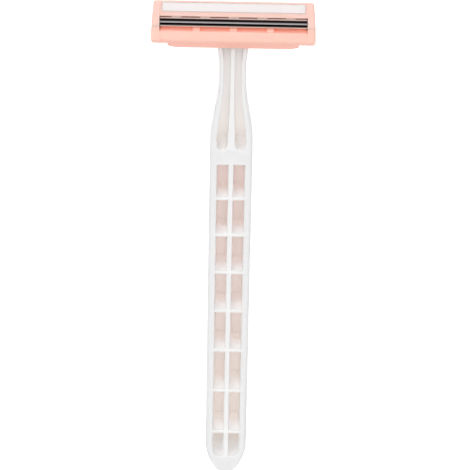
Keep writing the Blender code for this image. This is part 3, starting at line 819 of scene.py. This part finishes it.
def make_cap(surface):
    cap = head_block("cap_shell")
    front = PARTING_LINE + PARTING_GAP / 2
    low = -PARTING_DEPTH + PARTING_GAP / 2
    under = -HEAD_THICKNESS - OVERRUN
    rest = [(-PAST_FACE, PAST_TOP), (-PAST_FACE, under), (PAST_FACE, under)]
    rest += [(PAST_FACE, low), (front, low), (front, PAST_TOP)]
    combine(cap, prism("platform_side", rest, (-PAST_SIDE, PAST_SIDE)), "DIFFERENCE")
    before = front - OVERRUN
    opening = [(before, PAST_TOP), (before, low - OVERRUN), (LIP_FRONT, low - OVERRUN)]
    opening += arc((LIP_FRONT + LIP_ROUNDING, -LIP_DROP - LIP_ROUNDING), LIP_ROUNDING, 2, 1)
    opening += [(STRIP_FRONT, 0.0), (PAST_FACE, 0.0), (PAST_FACE, PAST_TOP)]
    combine(cap, prism("face_opening", opening, (-HALF_BAY, HALF_BAY)), "DIFFERENCE")
    nub_back = LIP_FRONT + LIP_ROUNDING
    nub_front = LIP_FRONT - LIP_NUB_REACH
    nub_top = -LIP_DROP - LIP_ROUNDING
    nub_low = stack_line(nub_back, OVERRUN)
    nub = [(nub_back, nub_top), (LIP_FRONT, nub_top), (nub_front, nub_top - LIP_NUB_REACH)]
    nub += [(nub_front, nub_low), (nub_back, nub_low)]
    combine(cap, nubs("lip_nubs", nub, LIP_NUB_WIDTH, LIP_NUB_COUNT, LIP_NUB_PITCH), "UNION")
    inside = HALF_FACE - REAR_WALL
    bay = [(before, stack_line(before, -CAP_UNDERSIDE)), (before, low - OVERRUN), (inside, low - OVERRUN)]
    bay += [(inside, stack_line(inside, -CAP_UNDERSIDE))]
    combine(cap, prism("blade_bay", bay, (-HALF_BAY, HALF_BAY)), "DIFFERENCE")
    combine(cap, studs(STUD_RADIUS, -SEAT_DROP - STUD_REACH, CAP_UNDERSIDE + STACK_GAP), "UNION")
    soften(cap)
    half_groove = STRIP_LENGTH / 2 + STRIP_GAP
    groove = box("strip_groove", (-half_groove, half_groove), (STRIP_FRONT, STRIP_BACK),
                 (-GROOVE_DEPTH, PAST_TOP))
    combine(cap, groove, "DIFFERENCE")
    return finished(placed(cap, HEAD_PLACE), "cap", surface)


def make_strip(surface):
    low = -GROOVE_DEPTH + STRIP_GAP
    strip = box("strip_bar", (-STRIP_LENGTH / 2, STRIP_LENGTH / 2),
                (STRIP_FRONT + STRIP_GAP, STRIP_BACK - STRIP_GAP), (low, STRIP_PROUD))
    with editing(strip):
        pick(strip, "EDGE", lambda e: all(v.co.z > low + STRIP_PROUD for v in e.verts))
        bpy.ops.mesh.bevel(offset=STRIP_ROUNDING, segments=CORNER_SEGMENTS, affect="EDGES")
    return finished(placed(strip, HEAD_PLACE), "lubricating_strip", surface)


def guard_outline():
    """What is cut away over the guard and the recess behind it."""
    rounding = GUARD_TOP - GUARD_FRONT
    outline = [
        (SEAT_FRONT, PAST_TOP), (SEAT_FRONT, -RECESS_DEPTH), (GUARD_BACK + GUARD_CROWN, -RECESS_DEPTH),
        (GUARD_BACK, -GUARD_CROWN), ((GUARD_BACK + GUARD_TOP) / 2, 0.0),
    ]
    outline += arc((GUARD_TOP, -GUARD_CROWN - rounding), rounding, 1, 2)
    return outline + [(-HALF_FACE, GUARD_BASE), (-PAST_FACE, GUARD_BASE), (-PAST_FACE, PAST_TOP)]


def make_skirt():
    """The skirt under the guard, narrower the further it stands out."""
    half = HALF_HEAD - SKIRT_ROOT_INSET
    front = -HALF_FACE - SKIRT_OVERHANG
    inner = -HALF_FACE + 2 * EDGE_ROUNDING
    outline = [(inner, GUARD_BASE), (-HALF_FACE, GUARD_BASE), (front, SKIRT_ROUNDING - SKIRT_DEPTH)]
    outline += [(front + SKIRT_ROUNDING / 2, -SKIRT_DEPTH), (-HALF_FACE, -HEAD_THICKNESS)]
    outline += [(inner, -HEAD_THICKNESS)]
    skirt = prism("skirt", outline, (-half, half))
    with editing(skirt):
        for y in {y for y, z in outline if y < -HALF_FACE}:
            pick(skirt, "VERT", lambda v: near(v.co.y, y))
            narrowing = (SKIRT_INSET - SKIRT_ROOT_INSET) * (-HALF_FACE - y) / SKIRT_OVERHANG
            bpy.ops.transform.resize(value=(1 - narrowing / half, 1, 1), center_override=(0, 0, 0))
    return skirt


def add_socket(platform):
    """A socket behind the skirt, with a pocket for the tongue and a window for its latch."""
    to_head = HEAD_PLACE.inverted()
    tip = SHOULDER + TONGUE_LENGTH
    latch_end = tip - LATCH_SETBACK
    mouth = TAIL_Y + SOCKET_MOUTH
    end = TAIL_Y + tip + SOCKET_END_WALL
    outline = [
        (mouth, SOCKET_BACK), (end, SOCKET_BACK), (end, SOCKET_BACK + SOCKET_END_HEIGHT),
        (mouth + SOCKET_TOP_LENGTH, SOCKET_HEIGHT), (mouth, SOCKET_HEIGHT),
    ]
    half = TONGUE_WIDTH / 2 + CLEARANCE
    half_window = LATCH_WIDTH / 2 + CLEARANCE
    block = prism("socket_block", outline, (-SOCKET_HALF_WIDTH, SOCKET_HALF_WIDTH))
    pocket = box("pocket", (-half, half), (mouth - OVERRUN, TAIL_Y + tip + CLEARANCE),
                 (TONGUE_BACK - CLEARANCE, TONGUE_RIB_TOP + CLEARANCE))
    window = box("window", (-half_window, half_window),
                 (TAIL_Y + latch_end - LATCH_LENGTH - CLEARANCE, TAIL_Y + latch_end + CLEARANCE),
                 (SOCKET_BACK - OVERRUN, TONGUE_BACK))
    combine(platform, placed(block, to_head), "UNION")
    combine(platform, placed(pocket, to_head), "DIFFERENCE")
    combine(platform, placed(window, to_head), "DIFFERENCE")


def make_platform(surface):
    platform = head_block("platform_shell")
    front = PARTING_LINE - PARTING_GAP / 2
    step = -PARTING_DEPTH - PARTING_GAP / 2
    rear = HALF_FACE - REAR_WALL - CLEARANCE
    seat_side = HALF_BAY - CLEARANCE
    cap_side = box("cap_side", (-PAST_SIDE, PAST_SIDE), (front, PAST_FACE), (step, PAST_TOP))
    seat_body = box("seat_body", (-seat_side, seat_side), (GUARD_BACK, rear), (step - CLEARANCE, 0.0))
    combine(platform, cap_side, "DIFFERENCE")
    combine(platform, seat_body, "UNION")
    combine(platform, prism("guard_cutter", guard_outline(), (-HALF_BAY, HALF_BAY)), "DIFFERENCE")
    rib_front = GUARD_BACK - CLEARANCE
    rib_back = SEAT_FRONT + CLEARANCE
    rib_low = -RECESS_DEPTH - CLEARANCE
    rib = [(rib_front, rib_low), (rib_back, rib_low), (rib_back, -GUARD_CROWN - GUARD_RIB_FALL)]
    rib += [(rib_front, -GUARD_CROWN)]
    combine(platform, nubs("guard_ribs", rib, GUARD_RIB_WIDTH, GUARD_RIB_COUNT, GUARD_RIB_PITCH), "UNION")
    notch_front = UPPER_EDGE - BLADE_SPAN - CLEARANCE
    notch_back = rear + OVERRUN
    notch = [(notch_front, PAST_TOP), (notch_front, stack_line(notch_front, SEAT_DROP))]
    notch += [(notch_back, stack_line(notch_back, SEAT_DROP)), (notch_back, PAST_TOP)]
    combine(platform, prism("blade_seat", notch, (-HALF_BAY, HALF_BAY)), "DIFFERENCE")
    combine(platform, make_skirt(), "UNION")
    add_socket(platform)
    combine(platform, studs(STUD_HOLE_RADIUS, -SEAT_DROP - STUD_REACH - CLEARANCE, OVERRUN), "DIFFERENCE")
    with editing(platform):
        bpy.ops.mesh.select_all(action="SELECT")
        bpy.ops.mesh.remove_doubles(threshold=SLIVER_WIDTH)
        bpy.ops.mesh.dissolve_limited(angle_limit=FLAT_ANGLE)
    soften(platform)
    return finished(placed(platform, HEAD_PLACE), "blade_platform", surface)


# Materials

def fill(tree, node, values):
    """Gives a node's inputs their values, or links them from sockets."""
    for name, value in values.items():
        entry = node.inputs[name]
        if isinstance(value, bpy.types.NodeSocket):
            tree.links.new(value, entry)
        elif entry.type == "RGBA":
            entry.default_value = (*value, 1.0)
        else:
            entry.default_value = value


def add_node(tree, kind, values=None, **settings):
    """A node with its settings and with what goes into its inputs."""
    made = tree.nodes.new(kind)
    for name, value in settings.items():
        setattr(made, name, value)
    fill(tree, made, values or {})
    return made


def calculate(tree, operation, *values):
    return add_node(tree, "ShaderNodeMath", dict(enumerate(values)), operation=operation).outputs["Value"]


def mix(tree, factor, first, second, blend_type="MIX"):
    """A blend of two colours, each a socket or a value."""
    made = add_node(tree, "ShaderNodeMix", {"Factor": factor, "A": first, "B": second},
                    data_type="RGBA", blend_type=blend_type)
    return made.outputs["Result"]


def map_range(tree, value, start, end, low=0.0, high=1.0):
    """A value that goes from low to high as another goes from start to end, and stays there."""
    made = add_node(tree, "ShaderNodeMapRange", {
        "Value": value, "From Min": start, "From Max": end, "To Min": low, "To Max": high,
    })
    return made.outputs["Result"]


def noise(tree, place, scale, detail, distortion=0.0):
    made = add_node(tree, "ShaderNodeTexNoise", {
        "Vector": place, "Scale": scale, "Detail": detail, "Distortion": distortion,
    })
    return made.outputs["Fac"]


def ramp(tree, value, reach, stops):
    """Colours by a value from 0 to reach."""
    made = add_node(tree, "ShaderNodeValToRGB", {"Fac": calculate(tree, "DIVIDE", value, reach)})
    points = made.color_ramp.elements
    for place, colour in stops[2:]:
        points.new(place / reach)
    for point, (place, colour) in zip(points, stops):
        point.position = place / reach
        point.color = (*colour, 1.0)
    return made.outputs["Color"]


def object_place(tree):
    return add_node(tree, "ShaderNodeTexCoord").outputs["Object"]


def in_frame(tree, place):
    """Object coordinates as they are in a frame that is turned and moved by a matrix."""
    back = place.inverted()
    made = add_node(tree, "ShaderNodeMapping", {
        "Vector": object_place(tree), "Rotation": back.to_euler(), "Location": back.translation,
    })
    return made.outputs["Vector"]


def split(tree, vector):
    """The X, Y and Z of a vector."""
    return add_node(tree, "ShaderNodeSeparateXYZ", {"Vector": vector}).outputs


def between(tree, place, ranges):
    """1 inside a box and 0 outside it; its ranges give two ends for each axis, and how far each fades."""
    mask = 1.0
    for axis, (low, high, low_fade, high_fade) in ranges.items():
        for start, end in ((low - TINY, low + low_fade), (high + TINY, high - high_fade)):
            mask = calculate(tree, "MULTIPLY", mask, map_range(tree, place[axis], start, end))
    return mask


def moulded_grain():
    """The fine grain and the flow marks of moulded plastic."""
    group = bpy.data.node_groups.new("moulded_grain", "ShaderNodeTree")
    for name, kind in (("Colour", "NodeSocketColor"), ("Flow Colour", "NodeSocketColor"),
                       ("Roughness", "NodeSocketFloat"), ("Roughness Spread", "NodeSocketFloat")):
        group.interface.new_socket(name=name, in_out="INPUT", socket_type=kind)
    for name, kind in (("Colour", "NodeSocketColor"), ("Roughness", "NodeSocketFloat"),
                       ("Height", "NodeSocketFloat")):
        group.interface.new_socket(name=name, in_out="OUTPUT", socket_type=kind)
    given = add_node(group, "NodeGroupInput").outputs
    place = object_place(group)
    flow = noise(group, place, FLOW_SCALE, FLOW_DETAIL, FLOW_DISTORTION)
    grain = noise(group, place, GRAIN_SCALE, GRAIN_DETAIL)
    roughness = calculate(group, "MULTIPLY_ADD", grain, given["Roughness Spread"], given["Roughness"])
    add_node(group, "NodeGroupOutput", {
        "Colour": mix(group, flow, given["Colour"], given["Flow Colour"]),
        "Roughness": roughness, "Height": grain,
    })
    return group


def new_material(name):
    """A new material, its node tree and its shader."""
    made = bpy.data.materials.new(name)
    made.use_nodes = True
    return made, made.node_tree, made.node_tree.nodes["Principled BSDF"]


def plastic(name, grain, colour, flow_colour, roughness, scatter, scatter_depth):
    """A moulded plastic that lets some light in, with the shared grain."""
    made, tree, shader = new_material(name)
    shader.subsurface_method = "RANDOM_WALK"
    surface = add_node(tree, "ShaderNodeGroup", {
        "Colour": colour, "Flow Colour": flow_colour,
        "Roughness": roughness, "Roughness Spread": ROUGHNESS_SPREAD,
    }, node_tree=grain).outputs
    bump = add_node(tree, "ShaderNodeBump", {
        "Height": surface["Height"], "Strength": GRAIN_STRENGTH, "Distance": GRAIN_DEPTH,
    })
    fill(tree, shader, {
        "Base Color": surface["Colour"], "Roughness": surface["Roughness"],
        "Normal": bump.outputs["Normal"], "Subsurface Weight": 1.0,
        "Subsurface Radius": scatter, "Subsurface Scale": scatter_depth,
    })
    return made


def tint(made, colour):
    """Multiplies a material's colour by another."""
    tree = made.node_tree
    shader = tree.nodes["Principled BSDF"]
    surface = shader.inputs["Base Color"].links[0].from_socket
    fill(tree, shader, {"Base Color": mix(tree, 1.0, surface, colour, "MULTIPLY")})


def glow(made, colour):
    """Paints a glow onto a material: it gives off a colour of its own, though it is no lamp."""
    tree = made.node_tree
    fill(tree, tree.nodes["Principled BSDF"], {"Emission Color": colour, "Emission Strength": 1.0})


def paint_cavity_light(made):
    """Paints light into a plastic's cavities and channels: a tint that brightens them against their shade
    and warms their floors, and a painted glow, both standing in for light that has passed through the
    plastic many times.
    """
    tree = made.node_tree
    cavity = add_node(tree, "ShaderNodeAttribute", attribute_name="cavity_depth").outputs["Fac"]
    channel = add_node(tree, "ShaderNodeAttribute", attribute_name="channel_depth").outputs["Fac"]
    tailwards = map_range(tree, split(tree, object_place(tree))["Y"], TAIL_Y + FIRST_RIM, TAIL_Y + LAST_RIM)

    def in_cavities(*stops):
        return mix(tree, tailwards, *[ramp(tree, cavity, 1.0, end_stops) for end_stops in stops])

    # painted light: tints that brighten and warm the depths, and a painted glow there
    painted_tints = in_cavities(HEAD_CAVITY_LIGHT_TINTS, TAIL_CAVITY_LIGHT_TINTS)
    painted_glows = in_cavities(HEAD_CAVITY_GLOWS, TAIL_CAVITY_GLOWS)
    in_channel = map_range(tree, channel, 0.0, TINY)
    deep_in_channel = map_range(tree, channel, CHANNEL_GLOW_START, 1.0)
    tint(made, mix(tree, in_channel, painted_tints, ramp(tree, channel, 1.0, CHANNEL_LIGHT_TINTS)))
    # a painted glow, deeper in the cavities and channels
    glow(made, mix(tree, deep_in_channel, painted_glows, CHANNEL_GLOW))
    return made


def paint_red_glow(made):
    """Paints a red glow into the recess behind the guard and onto the skirt, for the red light that a
    plastic passes on there.
    """
    tree = made.node_tree
    place = split(tree, in_frame(tree, HEAD_PLACE))
    in_recess = between(tree, place, {
        "X": (-HALF_BAY, HALF_BAY, TINY, TINY),
        "Y": (GUARD_BACK, SEAT_FRONT, CLEARANCE / 2, CLEARANCE / 2),
        "Z": (-RECESS_DEPTH - CLEARANCE, -GUARD_CROWN, CLEARANCE, CLEARANCE),
    })
    on_skirt = between(tree, place, {
        "Y": (-2 * HALF_FACE, -HALF_FACE + 2 * EDGE_ROUNDING, TINY, EDGE_ROUNDING),
        "Z": (-HEAD_THICKNESS - CLEARANCE, GUARD_BASE + 2 * EDGE_ROUNDING, CLEARANCE, EDGE_ROUNDING),
    })
    # painted glow in the shaded recess and on the skirt
    glow(made, mix(tree, on_skirt, mix(tree, in_recess, BLACK, RECESS_GLOW), SKIRT_GLOW))
    return made


def pink_edged(made):
    """Lets the cap's pink shine through the strip's edges, where the wax is thin over it."""
    tree = made.node_tree
    inner = between(tree, split(tree, in_frame(tree, HEAD_PLACE)), {
        "X": (-STRIP_LENGTH / 2, STRIP_LENGTH / 2, STRIP_EDGE, STRIP_EDGE),
        "Y": (STRIP_FRONT, STRIP_BACK, STRIP_EDGE, STRIP_EDGE),
    })
    tint(made, mix(tree, inner, STRIP_EDGE_TINT, WHITE))
    return made


def blade_steel(name, edge, painted_bands):
    """Ground steel, banded along the blade: the honed facet at its edge, then the polished flat, painted
    dark as a reflection of a dark room, with further painted reflections and shade in its bands.
    """
    made, tree, shader = new_material(name)
    place = in_frame(tree, HEAD_PLACE @ BLADE_PLACE @ Matrix.Translation((0, edge, 0)))
    along = add_node(tree, "ShaderNodeMapping", {"Vector": place, "Scale": STREAK_SCALES})
    streak = noise(tree, along.outputs["Vector"], 1.0, STREAK_DETAIL)
    fill(tree, shader, {
        # the base colour carries painted reflections and shade along the blade
        "Base Color": ramp(tree, split(tree, place)["Y"], BAND_REACH, painted_bands), "Metallic": 1.0,
        "Roughness": calculate(tree, "MULTIPLY_ADD", streak, STREAK_SPREAD, STEEL_ROUGHNESS),
    })
    return made


def dress(node, surface):
    """Gives a CAD node that stays as it is its material."""
    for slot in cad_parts[node].material_slots:
        slot.material = surface


# Studio

def soft_lamp(name, place, level):
    """A soft lamp that shines on the object; at level 1 it lights what faces it as a white sky would."""
    deselect()
    bpy.ops.object.light_add(type="AREA", location=place)
    lamp = bpy.context.active_object
    lamp.name = name
    lamp.data.size = LAMP_SIZE
    lamp.data.energy = level * (math.pi * place.length) ** 2
    lamp.rotation_euler = (-place).to_track_quat("-Z", "Y").to_euler()


def seen_directly(tree):
    """1 for what is seen, also in a reflection or through glass, and 0 for the light that falls."""
    rays = add_node(tree, "ShaderNodeLightPath").outputs
    shiny = calculate(tree, "MAXIMUM", rays["Is Camera Ray"], rays["Is Glossy Ray"])
    return calculate(tree, "MAXIMUM", shiny, rays["Is Transmission Ray"])


def make_world():
    """A white surrounding, which lights the object with less than it shows."""
    world = bpy.data.worlds.new("studio")
    bpy.context.scene.world = world
    world.use_nodes = True
    tree = world.node_tree
    level = map_range(tree, seen_directly(tree), 0.0, 1.0, WORLD_LEVEL, 1.0)
    fill(tree, tree.nodes["Background"], {"Color": WHITE, "Strength": level})


def make_floor():
    """A white floor, which looks white to the camera except where the object's shadow lies."""
    deselect()
    bpy.ops.mesh.primitive_plane_add(size=FLOOR_SIZE, location=(0, 0, -FLOOR_DROP))
    floor = added("floor")
    made, tree, shader = new_material("floor_white")
    fill(tree, shader, {
        "Base Color": FLOOR_COLOUR, "Roughness": FLOOR_ROUGHNESS, "Emission Color": WHITE,
        "Emission Strength": calculate(tree, "MULTIPLY", seen_directly(tree), FLOOR_GLOW),
    })
    floor.data.materials.append(made)


def make_camera():
    """The photograph's camera, nearly over the object, leaned back towards its head and rolled a little."""
    back = Vector((
        -math.sin(CAMERA_TURN), math.cos(CAMERA_TURN) * math.sin(CAMERA_TILT),
        math.cos(CAMERA_TURN) * math.cos(CAMERA_TILT),
    ))
    up = Matrix.Rotation(CAMERA_ROLL, 3, back) @ (Vector((0, 1, 0)) - back.y * back).normalized()
    turn = Matrix((up.cross(back), up, back)).transposed().to_4x4()
    deselect()
    bpy.ops.object.camera_add()
    camera = bpy.context.active_object
    camera.name = "camera"
    camera.matrix_world = Matrix.Translation(CAMERA_AIM + CAMERA_DISTANCE * back) @ turn
    camera.data.sensor_width = SENSOR_WIDTH
    camera.data.lens = LENS
    camera.data.clip_start = CLIP_START
    bpy.context.scene.camera = camera


def main():
    grain = moulded_grain()
    make_handle(paint_cavity_light(plastic("white_plastic", grain, **WHITE_PLASTIC)))
    make_platform(paint_red_glow(plastic("platform_pink", grain, **PLATFORM_PINK)))
    make_cap(plastic("cap_pink", grain, **CAP_PINK))
    make_strip(pink_edged(plastic("strip_wax", grain, **STRIP_WAX)))
    dress("upper_blade", blade_steel("upper_blade_steel", 0.0, UPPER_PAINTED_BANDS))
    dress("lower_blade", blade_steel("lower_blade_steel", -STACK_STAGGER, LOWER_PAINTED_BANDS))
    dress("spacer", plastic("dark_plastic", grain, **DARK_PLASTIC))
    make_world()
    make_floor()
    make_camera()
    soft_lamp("key", KEY_PLACE, KEY_LEVEL)
    soft_lamp("fill", FILL_PLACE, FILL_LEVEL)
    bpy.context.scene.view_settings.view_transform = "Standard"


main()
